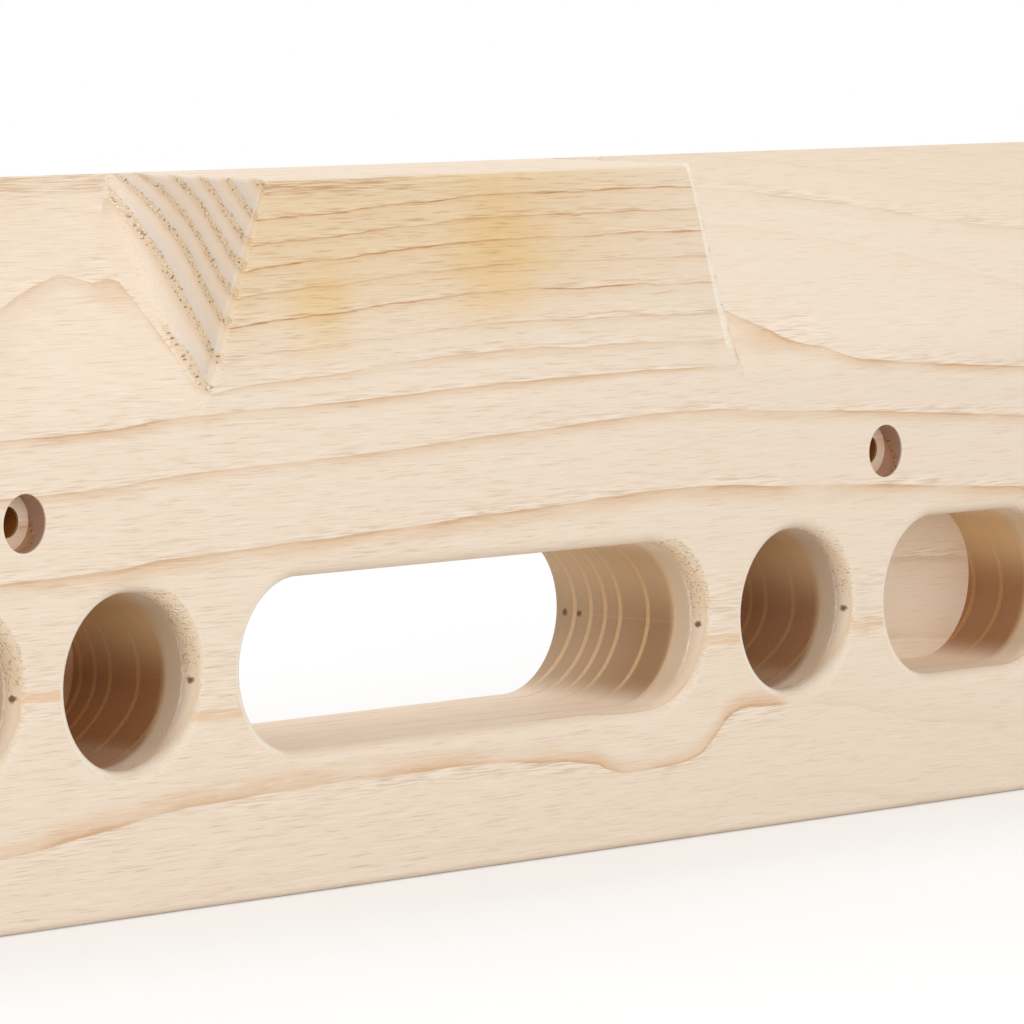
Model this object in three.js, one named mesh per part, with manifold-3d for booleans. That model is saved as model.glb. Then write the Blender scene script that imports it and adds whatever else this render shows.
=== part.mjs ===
// A one-piece wooden hangboard, milled from a single plank of pale ring-porous wood.
// Millimetres, +Z up. The board stands on its lower long edge: +X runs along it, the front
// that the climber faces looks along -Y, and the flat back that lies on the wall looks
// along +Y. The origin is in the middle of the underside.

import * as THREE from 'three';
import { mergeVertices } from 'three/addons/utils/BufferGeometryUtils.js';
import Module from 'manifold-3d';

const wasm = await Module();
wasm.setup();

// Driving dimensions of the plank.
const boardHeight = 150;
const boardDepth = 43;
const longEdgeRound = 2;
const endEdgeRound = 1.5;

// The row of finger holds. Every hold has the same height, because one cutter makes them all.
const holdHeight = 36.5;
const holdRowHeight = 48.4;
const holdMouthRound = 3.5;
const holdWeb = 8.2;
const slotLength = 148.5;
const roundHoleDepth = 35;
const innerPocketLength = 63.5;
const innerPocketDepth = 26;
const outerPocketLength = 80;
const outerPocketDepth = 22;
const endMargin = 17;

// The slopers on both sides of the raised middle block, and that block. Up the sloper the
// hollow fillet along the block's wall grows with the depth below the front, from its size at
// the foot to its full size, and the round of the block's front edge shrinks in the same way.
const sloperFootHeight = 106;
const sloperTopLand = 2;
const sloperFootBlend = 14;
const blockTopWidth = 138;
const blockFootWidth = 173;
const blockWallFillet = 11;
const blockFootFillet = 2.8;
const filletGrowthShare = 0.57;
const blockEdgeRound = 2;
const blockFootRound = 3.5;
const roundFallShare = 0.1;

// The counterbored screw holes, in one row above the finger holds.
const screwHoleDiameter = 6.4;
const counterboreDiameter = 12;
const counterboreDepth = 5;
const screwRowHeight = 82.8;
const innerScrewSpacing = 278;
const outerScrewInset = 27;

// How far a cutter reaches past the wood, how close two points may lie, and how finely round
// forms are stepped.
const overrun = 5;
const edgeOverrun = 0.5;
const weldDistance = 0.02;
const mouthSteps = 5;
const holdEndSteps = 20;
const roundHoleSteps = 40;
const screwHoleSteps = 24;
const filletSteps = 8;
const footSteps = 8;
const sloperSteps = 6;
const edgeSteps = 4;

// Sizes that follow from the ones above.
const holdRadius = holdHeight / 2;
const mouthRadius = holdRadius + holdMouthRound;
const roundHoleX = slotLength / 2 + holdMouthRound + holdWeb + mouthRadius;
const innerPocketX = roundHoleX + mouthRadius + holdWeb + holdMouthRound + innerPocketLength / 2;
const outerPocketX = innerPocketX + (innerPocketLength + outerPocketLength) / 2
  + 2 * holdMouthRound + holdWeb;
const boardLength = 2 * (outerPocketX + outerPocketLength / 2 + holdMouthRound + endMargin);
const frontY = -boardDepth / 2;
const backY = boardDepth / 2;
const endX = boardLength / 2;

// The sloper's angle, and the planes that bound the block's wall on the right half.
const sloperRise = boardHeight - sloperFootHeight;
const sloperRun = boardDepth - sloperTopLand;
const sloperAngle = Math.atan2(sloperRise, sloperRun);
const wallLean = (blockFootWidth - blockTopWidth) / 2;
const topNormal = new THREE.Vector3(0, 0, 1);
const wallNormal = new THREE.Vector3(sloperRise, 0, wallLean).normalize();

// The ends of the edge between that wall and the top.
const blockCorner = new THREE.Vector3(blockTopWidth / 2, frontY, boardHeight);
const blockCornerBehind = new THREE.Vector3(blockTopWidth / 2, frontY + sloperRun, boardHeight);

/** A copy whose points within a distance are one, without the triangles that this collapses. */
function welded(geometry, distance) {
  const bare = geometry.clone();
  bare.deleteAttribute('normal');
  bare.deleteAttribute('uv');
  const merged = mergeVertices(bare, distance);
  const index = merged.index.array;
  const kept = [];
  for (let i = 0; i < index.length; i += 3) {
    const [a, b, c] = index.slice(i, i + 3);
    if (a !== b && b !== c && c !== a) {
      kept.push(a, b, c);
    }
  }
  merged.setIndex(kept);
  return merged;
}

/** A closed solid for cutting and joining, from a three.js geometry. */
function toSolid(geometry) {
  const merged = welded(geometry);
  return new wasm.Manifold(new wasm.Mesh({
    numProp: 3,
    vertProperties: new Float32Array(merged.attributes.position.array),
    triVerts: new Uint32Array(merged.index.array),
  }));
}

/** A three.js geometry from a finished solid, with points that all but touch made one. */
function toGeometry(solid) {
  const mesh = solid.getMesh();
  const cut = new THREE.BufferGeometry();
  cut.setAttribute('position', new THREE.BufferAttribute(mesh.vertProperties, mesh.numProp));
  cut.setIndex(new THREE.BufferAttribute(mesh.triVerts, 1));
  const geometry = welded(cut, weldDistance);
  geometry.computeVertexNormals();
  return geometry;
}

/** The mirror image of a closed geometry on the other half of the board. */
function mirrored(geometry) {
  const copy = mergeVertices(geometry.clone().deleteAttribute('normal').deleteAttribute('uv'));
  copy.scale(-1, 1, 1);
  const index = copy.index.array;
  for (let i = 0; i < index.length; i += 3) {
    [index[i], index[i + 1]] = [index[i + 1], index[i]];
  }
  return copy;
}

/** A prism: a shape drawn in the plane of two directions, drawn out along their cross product. */
function prism(shape, across, up, start, length, curveSegments) {
  const along = new THREE.Vector3().crossVectors(across, up);
  const geometry = new THREE.ExtrudeGeometry(shape, {
    depth: length, bevelEnabled: false, curveSegments,
  });
  const place = new THREE.Matrix4().makeBasis(across, up, along).setPosition(start);
  return geometry.applyMatrix4(place);
}

/** A closed body through rings of equally many points, whose first point sees its whole ring. */
function loft(rings) {
  const ringSize = rings[0].length;
  const index = [];
  for (let ring = 0; ring + 1 < rings.length; ring += 1) {
    for (let i = 0; i < ringSize; i += 1) {
      const a = ring * ringSize + i;
      const b = ring * ringSize + ((i + 1) % ringSize);
      index.push(a, a + ringSize, b, b, a + ringSize, b + ringSize);
    }
  }
  const last = (rings.length - 1) * ringSize;
  for (let i = 1; i + 1 < ringSize; i += 1) {
    index.push(0, i, i + 1);
    index.push(last, last + i + 1, last + i);
  }
  const geometry = new THREE.BufferGeometry().setFromPoints(rings.flat());
  geometry.setIndex(index);
  return geometry;
}

/** The points of an arc, both ends included. */
function arcPoints(centre, radius, first, last, steps) {
  const points = [];
  for (let i = 0; i <= steps; i += 1) {
    const angle = first + (last - first) * (i / steps);
    points.push(new THREE.Vector2(Math.cos(angle), Math.sin(angle)).multiplyScalar(radius).add(centre));
  }
  return points;
}

/** The part of a vector that is square to a unit direction, as a unit vector. */
function squareTo(vector, direction) {
  return vector.clone().addScaledVector(direction, -vector.dot(direction)).normalize();
}

/** The plank with its eased edges. */
function makeBlank() {
  const low = frontY + longEdgeRound;
  const high = backY - longEdgeRound;
  const foot = longEdgeRound;
  const head = boardHeight - longEdgeRound;
  const section = new THREE.Shape();
  section.moveTo(low, 0);
  section.absarc(high, foot, longEdgeRound, -Math.PI / 2, 0, false);
  section.absarc(high, head, longEdgeRound, 0, Math.PI / 2, false);
  section.absarc(low, head, longEdgeRound, Math.PI / 2, Math.PI, false);
  section.absarc(low, foot, longEdgeRound, Math.PI, 1.5 * Math.PI, false);
  const geometry = new THREE.ExtrudeGeometry(section, {
    depth: boardLength - 2 * endEdgeRound,
    curveSegments: edgeSteps,
    bevelEnabled: true,
    bevelThickness: endEdgeRound,
    bevelSize: endEdgeRound,
    bevelOffset: -endEdgeRound,
    bevelSegments: edgeSteps,
  });
  const across = new THREE.Vector3(0, 1, 0);
  const up = new THREE.Vector3(0, 0, 1);
  const along = new THREE.Vector3(1, 0, 0);
  const place = new THREE.Matrix4().makeBasis(across, up, along);
  place.setPosition(endEdgeRound - endX, 0, 0);
  return geometry.applyMatrix4(place);
}

/** The sliver outside a rounded outer edge, between two faces that meet along a line. */
function makeEdgeCut(start, end, normalA, normalB, radius, steps) {
  const turn = normalA.angleTo(normalB);
  const tangent = radius * Math.tan(turn / 2);
  const reach = radius + edgeOverrun;
  const intoFace = squareTo(normalB, normalA).negate();
  const along = new THREE.Vector3().crossVectors(intoFace, normalA);
  const forward = along.dot(new THREE.Vector3().subVectors(end, start)) > 0;
  const section = new THREE.Shape();
  section.moveTo(tangent, edgeOverrun);
  section.lineTo(tangent, 0);
  section.absarc(tangent, -radius, radius, Math.PI / 2, Math.PI / 2 + turn, false);
  section.lineTo(tangent - reach * Math.sin(turn), reach * Math.cos(turn) - radius);
  section.lineTo(-edgeOverrun * Math.tan(turn / 2), edgeOverrun);
  return prism(section, intoFace, normalA, forward ? start : end, start.distanceTo(end), steps);
}

/** The sloper's own section: places from the front up past the back, and where each faces. */
function sloperProfile() {
  const turn = Math.PI / 2 - sloperAngle;
  const blendHeight = sloperFootHeight - sloperFootBlend * Math.tan(turn / 2);
  const blendCentre = new THREE.Vector3(0, frontY + sloperFootBlend, blendHeight);
  const steps = [];
  for (let i = 0; i <= footSteps; i += 1) {
    const angle = turn * (i / footSteps);
    const face = new THREE.Vector3(0, -Math.cos(angle), Math.sin(angle));
    steps.push({ place: face.clone().multiplyScalar(sloperFootBlend).add(blendCentre), face });
  }
  const { place: foot, face } = steps[footSteps];
  const uphill = new THREE.Vector3(0, Math.cos(sloperAngle), Math.sin(sloperAngle));
  const length = (backY + overrun - foot.y) / uphill.y;
  for (let i = 1; i <= sloperSteps; i += 1) {
    const place = foot.clone().addScaledVector(uphill, length * (i / sloperSteps));
    steps.push({ place, face });
  }
  return steps;
}

/** Where the wall of the block lies at a height, on the right half. */
function wallX(height) {
  return blockFootWidth / 2 - (height - sloperFootHeight) * (wallLean / sloperRise);
}

/**
 * The section of the sloper's cutter where one step of the sloper runs into the block's wall.
 *
 * A ball rolls along the sloper and the wall and leaves the hollow fillet. Where the wall is
 * high, the fillet ends on it and the round of the block's front edge leads on to the front.
 * Where it is low, the two rounds run into each other on the wall, and fade out at the foot.
 * The section is drawn across and away from the sloper, with the ball's middle as its zero.
 */
function shoulderRing({ place, face }) {
  const depth = place.y - frontY;
  const fillet = Math.min(blockWallFillet, blockFootFillet + filletGrowthShare * depth);
  const edge = Math.max(blockEdgeRound, blockFootRound - roundFallShare * depth);
  const ball = place.clone().addScaledVector(face, fillet);
  ball.x = wallX(ball.z) + fillet / wallNormal.x;
  const away = squareTo(wallNormal, face);
  const wall = new THREE.Vector2(wallNormal.dot(away), wallNormal.dot(face));
  const front = new THREE.Vector2(-away.y, -face.y);
  const tilt = front.length();
  front.normalize();

  const frontLevel = (ball.y - frontY) / tilt - edge;
  const wallLevel = -fillet - edge;
  const across = wall.x * front.y - wall.y * front.x;
  let centre = new THREE.Vector2(
    (wallLevel * front.y - frontLevel * wall.y) / across,
    (frontLevel * wall.x - wallLevel * front.x) / across,
  );
  let meets = wall.clone().negate();
  const wallHeight = wall.cross(centre.clone().addScaledVector(wall, edge));
  if (wallHeight < 0) {
    const side = new THREE.Vector2(-front.y, front.x);
    const reach = Math.sqrt(Math.max((fillet + edge) ** 2 - frontLevel ** 2, 0));
    centre = front.clone().multiplyScalar(frontLevel).addScaledVector(side, reach);
    meets = centre.clone().divideScalar(fillet + edge);
    const turning = ball.clone().addScaledVector(away, meets.x * fillet);
    turning.addScaledVector(face, meets.y * fillet);
    ball.x += wallX(turning.z) - turning.x;
  }

  const middle = new THREE.Vector2();
  const rounds = [
    ...arcPoints(middle, fillet, -Math.PI / 2, Math.atan2(meets.y, meets.x), filletSteps),
    ...arcPoints(centre, edge, Math.atan2(-meets.y, -meets.x), Math.atan2(front.y, front.x), edgeSteps),
  ];
  const farEnd = new THREE.Vector3(endX + overrun, place.y, place.z);
  const points = rounds.map((p) => ball.clone().addScaledVector(away, p.x).addScaledVector(face, p.y));
  const outside = points[points.length - 1].clone();
  outside.y -= overrun;
  const above = farEnd.clone().addScaledVector(face, boardHeight);
  return [above, outside, ...points.reverse(), farEnd];
}

/** The cutter for one sloper, up to the block's wall and with both its rounds. */
function makeShoulderCut() {
  const rings = sloperProfile().map(shoulderRing);
  const below = rings[0].map((point) => point.clone());
  for (const point of below) {
    point.y -= edgeOverrun;
    point.z -= overrun;
  }
  return loft([below, ...rings]);
}

/** Half the profile of a finger hold's cutter: radius against depth, with the flared mouth. */
function mouthProfile(depth) {
  const points = [new THREE.Vector2(mouthRadius, -overrun)];
  for (let i = 0; i <= mouthSteps; i += 1) {
    const angle = (i / mouthSteps) * (Math.PI / 2);
    points.push(new THREE.Vector2(
      holdRadius + holdMouthRound * (1 - Math.sin(angle)),
      holdMouthRound * (1 - Math.cos(angle)),
    ));
  }
  points.push(new THREE.Vector2(holdRadius, depth));
  return points;
}

/** A cutter with round ends and straight sides that follows a profile, opening to the front. */
function makeLongHoldCut(length, depth) {
  const halfStraight = length / 2 - holdRadius;
  const rings = mouthProfile(depth).map((point) => {
    const ring = [];
    for (const side of [1, -1]) {
      for (let i = 0; i <= holdEndSteps; i += 1) {
        const angle = (i / holdEndSteps - 1 / 2) * Math.PI;
        ring.push(new THREE.Vector3(
          side * (halfStraight + point.x * Math.cos(angle)),
          point.y,
          side * point.x * Math.sin(angle),
        ));
      }
    }
    return ring;
  });
  return loft(rings);
}

/** A round cutter that opens to the front, from a profile of radius against depth. */
function makeRoundCut(profile, steps) {
  const first = new THREE.Vector2(0, profile[0].y);
  const last = new THREE.Vector2(0, profile[profile.length - 1].y);
  return new THREE.LatheGeometry([first, ...profile, last], steps);
}

/** The counterbored hole for one screw, right through the board. */
function screwHoleProfile() {
  return [
    new THREE.Vector2(counterboreDiameter / 2, -overrun),
    new THREE.Vector2(counterboreDiameter / 2, counterboreDepth),
    new THREE.Vector2(screwHoleDiameter / 2, counterboreDepth),
    new THREE.Vector2(screwHoleDiameter / 2, boardDepth + overrun),
  ];
}

/** A cutter set on the front face at a place along the board and a height. */
function placed(geometry, x, height) {
  return geometry.clone().translate(x, frontY, height);
}

/** Every cutter that shapes the top of the right half, with the block left standing. */
function topCuts() {
  return [
    makeShoulderCut(),
    makeEdgeCut(blockCorner, blockCornerBehind, wallNormal, topNormal, blockEdgeRound, edgeSteps),
  ];
}

/** The whole board, milled out of its blank. */
function makeBoard() {
  let board = toSolid(makeBlank());
  for (const cut of topCuts()) {
    board = board.subtract(toSolid(cut)).subtract(toSolid(mirrored(cut)));
  }
  const slot = makeLongHoldCut(slotLength, boardDepth + overrun);
  const roundHole = makeRoundCut(mouthProfile(roundHoleDepth), roundHoleSteps);
  const innerPocket = makeLongHoldCut(innerPocketLength, innerPocketDepth);
  const outerPocket = makeLongHoldCut(outerPocketLength, outerPocketDepth);
  const screwHole = makeRoundCut(screwHoleProfile(), screwHoleSteps);
  const cuts = [placed(slot, 0, holdRowHeight)];
  for (const side of [-1, 1]) {
    cuts.push(placed(roundHole, side * roundHoleX, holdRowHeight));
    cuts.push(placed(innerPocket, side * innerPocketX, holdRowHeight));
    cuts.push(placed(outerPocket, side * outerPocketX, holdRowHeight));
    cuts.push(placed(screwHole, (side * innerScrewSpacing) / 2, screwRowHeight));
    cuts.push(placed(screwHole, side * (endX - outerScrewInset), screwRowHeight));
  }
  for (const cut of cuts) {
    board = board.subtract(toSolid(cut));
  }
  return toGeometry(board);
}

const paleWood = new THREE.MeshStandardMaterial({ color: 0xecd8c0, roughness: 0.62, metalness: 0 });

const board = new THREE.Mesh(makeBoard(), paleWood);
board.name = 'board';

const hangboard = new THREE.Group();
hangboard.name = 'hangboard';
hangboard.add(board);

export default hangboard;
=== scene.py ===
"""A one-piece wooden hangboard, milled from a plank of pale ring-porous wood, in a white studio.

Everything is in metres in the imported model's own frame: +X runs along the board, the front
that the climber faces looks along -Y, and +Z is up. Sizes of the wood are given in millimetres.
"""

from __future__ import annotations

import logging
import math
from dataclasses import dataclass
from enum import Enum
from typing import Union

import bmesh
import bpy
from mathutils import Matrix, Vector


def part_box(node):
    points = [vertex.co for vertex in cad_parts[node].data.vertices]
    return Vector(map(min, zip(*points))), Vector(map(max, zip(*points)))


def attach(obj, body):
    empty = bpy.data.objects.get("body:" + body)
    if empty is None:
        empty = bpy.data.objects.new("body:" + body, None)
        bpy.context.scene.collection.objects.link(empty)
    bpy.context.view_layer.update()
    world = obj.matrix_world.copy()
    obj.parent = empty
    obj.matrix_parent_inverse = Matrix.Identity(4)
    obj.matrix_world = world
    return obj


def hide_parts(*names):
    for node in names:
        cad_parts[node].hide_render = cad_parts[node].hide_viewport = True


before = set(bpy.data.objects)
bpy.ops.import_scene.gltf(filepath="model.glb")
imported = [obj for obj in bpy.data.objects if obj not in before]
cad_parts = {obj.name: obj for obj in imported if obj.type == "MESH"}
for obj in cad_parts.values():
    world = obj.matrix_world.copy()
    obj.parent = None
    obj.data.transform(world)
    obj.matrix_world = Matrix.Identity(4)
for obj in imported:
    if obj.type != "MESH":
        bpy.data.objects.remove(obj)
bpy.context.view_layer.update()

MM = 0.001
QUARTER_TURN = math.pi / 2
log = logging.getLogger("hangboard")

Rgba = tuple[float, float, float, float]
Pairs = tuple[tuple[float, float], ...]
# Where a soft step starts and ends and, if they aren't 0 and 1, what it gives before and after.
Step = tuple[float, ...]
# A rising step and a falling one.
Window = tuple[tuple[float, float], tuple[float, float]]
# The middle of a band, half its width, and how wide its soft edge is.
Band = tuple[float, float, float]
# How long the spots of a noise are along the grain, how wide across it, and its finer layers.
Spots = tuple[float, float, float]


def linear(red: int, green: int, blue: int) -> Rgba:
    """Turns a colour as a screen shows it into the linear colour that a shader takes.

    Args:
        red: Red from 0 to 255.
        green: Green from 0 to 255.
        blue: Blue from 0 to 255.

    Returns:
        The linear red, green and blue, with an alpha of 1.
    """
    low_end, low_slope, offset, power = 0.04045, 12.92, 0.055, 2.4
    out = []
    for share in (red / 255, green / 255, blue / 255):
        if share <= low_end:
            out.append(share / low_slope)
        else:
            out.append(((share + offset) / (1 + offset)) ** power)
    return (out[0], out[1], out[2], 1.0)


WHITE: Rgba = (1.0, 1.0, 1.0, 1.0)
PALE_WOOD = linear(242, 224, 203)
GLINT = linear(252, 240, 222)
SEAM = linear(226, 194, 152)


class Solids:
    """Makes closed bodies from rings of points, and cuts them with each other."""

    WELD_DISTANCE = MM / 1000

    @classmethod
    def body(cls, name: str, points: list[Vector], faces: list[list[int]]) -> bpy.types.Object:
        """Makes a closed body whose faces look out.

        Args:
            name: The body's name.
            points: Its corners in metres.
            faces: Its faces, as lists of corner numbers.

        Returns:
            The new object, linked to the scene.
        """
        work = bmesh.new()
        corners = [work.verts.new(point) for point in points]
        for face in faces:
            work.faces.new([corners[i] for i in face])
        bmesh.ops.remove_doubles(work, verts=work.verts, dist=cls.WELD_DISTANCE)
        bmesh.ops.recalc_face_normals(work, faces=work.faces)
        mesh = bpy.data.meshes.new(name)
        work.to_mesh(mesh)
        work.free()
        made = bpy.data.objects.new(name, mesh)
        bpy.context.scene.collection.objects.link(made)
        return made

    @classmethod
    def loft(cls, name: str, rings: list[list[Vector]]) -> bpy.types.Object:
        """Makes a body that runs through rings of points and is closed at both ends.

        Args:
            name: The body's name.
            rings: Rings with equally many points each, in order along the body.

        Returns:
            The new object.
        """
        count = len(rings[0])
        points = [point for ring in rings for point in ring]
        faces = [list(range(count))]
        for ring in range(len(rings) - 1):
            for i in range(count):
                a = ring * count + i
                b = ring * count + (i + 1) % count
                faces.append([a, b, b + count, a + count])
        faces.append(list(range((len(rings) - 1) * count, len(rings) * count)))
        return cls.body(name, points, faces)

    @staticmethod
    def cut_away(body: bpy.types.Object, tool: bpy.types.Object) -> None:
        """Cuts a tool body out of a body, and deletes the tool.

        Args:
            body: The body that is cut.
            tool: The body that cuts it.
        """
        change = body.modifiers.new("cut", "BOOLEAN")
        change.operation = "DIFFERENCE"
        change.solver = "MANIFOLD"
        change.object = tool
        graph = bpy.context.evaluated_depsgraph_get()
        done = bpy.data.meshes.new_from_object(body.evaluated_get(graph))
        body.modifiers.clear()
        old = body.data
        done.name = body.name
        body.data = done
        bpy.data.meshes.remove(old)
        bpy.data.meshes.remove(tool.data)


def square_to(vector: Vector, direction: Vector) -> Vector:
    """Gives the part of a vector that is square to a unit direction, as a unit vector."""
    return (vector - direction * vector.dot(direction)).normalized()


def arc(
    centre: tuple[float, float], radius: float, first: float, last: float, steps: int,
) -> list[tuple[float, float]]:
    """Walks along an arc.

    Args:
        centre: The arc's centre.
        radius: Its radius.
        first: The angle where it starts, in radians.
        last: The angle where it ends.
        steps: How many chords it has.

    Returns:
        The points of the arc, both ends included.
    """
    out = []
    for i in range(steps + 1):
        angle = first + (last - first) * i / steps
        out.append((centre[0] + radius * math.cos(angle), centre[1] + radius * math.sin(angle)))
    return out


@dataclass(frozen=True)
class FingerHold:
    """One finger hold with a flared mouth. Sizes are in millimetres."""

    name: str
    middle_x: float
    length: float
    depth: float
    height: float = 36.5
    row_height: float = 48.4
    mouth_round: float = 3.5
    overrun: float = 5.0
    mouth_steps: int = 12
    end_steps: int = 40

    def ring(self, radius: float, y: float) -> list[Vector]:
        """Gives the hold's outline at one depth.

        Args:
            radius: The radius of the outline's round ends.
            y: The depth, as a Y in millimetres.

        Returns:
            The outline's points in metres.
        """
        straight = (self.length - self.height) / 2
        out = []
        for side in (1, -1):
            for i in range(self.end_steps + 1):
                angle = (i / self.end_steps - 1 / 2) * math.pi
                x = self.middle_x + side * (straight + radius * math.cos(angle))
                z = self.row_height + side * radius * math.sin(angle)
                out.append(Vector((x, y, z)) * MM)
        return out

    def cutter(self, front: float) -> bpy.types.Object:
        """Makes the body that cuts this hold.

        Args:
            front: Where the board's front lies, in millimetres.

        Returns:
            The cutter.
        """
        wall = self.height / 2
        rings = [self.ring(wall + self.mouth_round, front - self.overrun)]
        for i in range(self.mouth_steps + 1):
            angle = (i / self.mouth_steps) * QUARTER_TURN
            rings.append(self.ring(
                wall + self.mouth_round * (1 - math.sin(angle)),
                front + self.mouth_round * (1 - math.cos(angle)),
            ))
        rings.append(self.ring(wall, front + self.depth))
        return Solids.loft(self.name, rings)


@dataclass(frozen=True)
class ScrewHole:
    """One counterbored screw hole right through the board. Sizes are in millimetres."""

    name: str
    middle_x: float
    row_height: float = 82.8
    hole: float = 6.4
    counterbore: float = 12.0
    counterbore_depth: float = 5.0
    overrun: float = 5.0
    steps: int = 64

    def ring(self, diameter: float, y: float) -> list[Vector]:
        """Gives a circle round the hole's axis.

        Args:
            diameter: The circle's diameter.
            y: Its depth, as a Y in millimetres.

        Returns:
            The circle's points in metres.
        """
        middle = (self.middle_x, self.row_height)
        last = 2 * math.pi * (1 - 1 / self.steps)
        circle = arc(middle, diameter / 2, 0, last, self.steps - 1)
        return [Vector((x, y, z)) * MM for x, z in circle]

    def cutter(self, front: float, back: float) -> bpy.types.Object:
        """Makes the body that cuts this hole.

        Args:
            front: Where the board's front lies, in millimetres.
            back: Where its back lies.

        Returns:
            The cutter.
        """
        return Solids.loft(self.name, [
            self.ring(self.counterbore, front - self.overrun),
            self.ring(self.counterbore, front + self.counterbore_depth),
            self.ring(self.hole, front + self.counterbore_depth),
            self.ring(self.hole, back + self.overrun),
        ])


@dataclass(frozen=True)
class TopForm:
    """The slopers and the raised block between them. Sizes are in millimetres.

    Up the sloper, the hollow fillet along the block's wall grows with the depth below the
    front, and the round of the block's front edge shrinks with it. Both shares are
    millimetres per millimetre of that depth.
    """

    foot_height: float = 106.0
    top_land: float = 2.0
    foot_blend: float = 14.0
    block_top_width: float = 138.0
    block_foot_width: float = 173.0
    wall_fillet: float = 11.0
    foot_fillet: float = 2.8
    fillet_growth_share: float = 0.57
    block_round: float = 2.0
    foot_round: float = 3.5
    round_fall_share: float = 0.1
    overrun: float = 5.0
    lead_in_share: float = 0.1
    sliver: float = 0.5
    fine_steps: int = 12
    blend_steps: int = 24
    sloper_steps: int = 6

    @property
    def lean(self) -> float:
        """How much farther out the foot of the block's wall lies than its top."""
        return (self.block_foot_width - self.block_top_width) / 2


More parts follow.
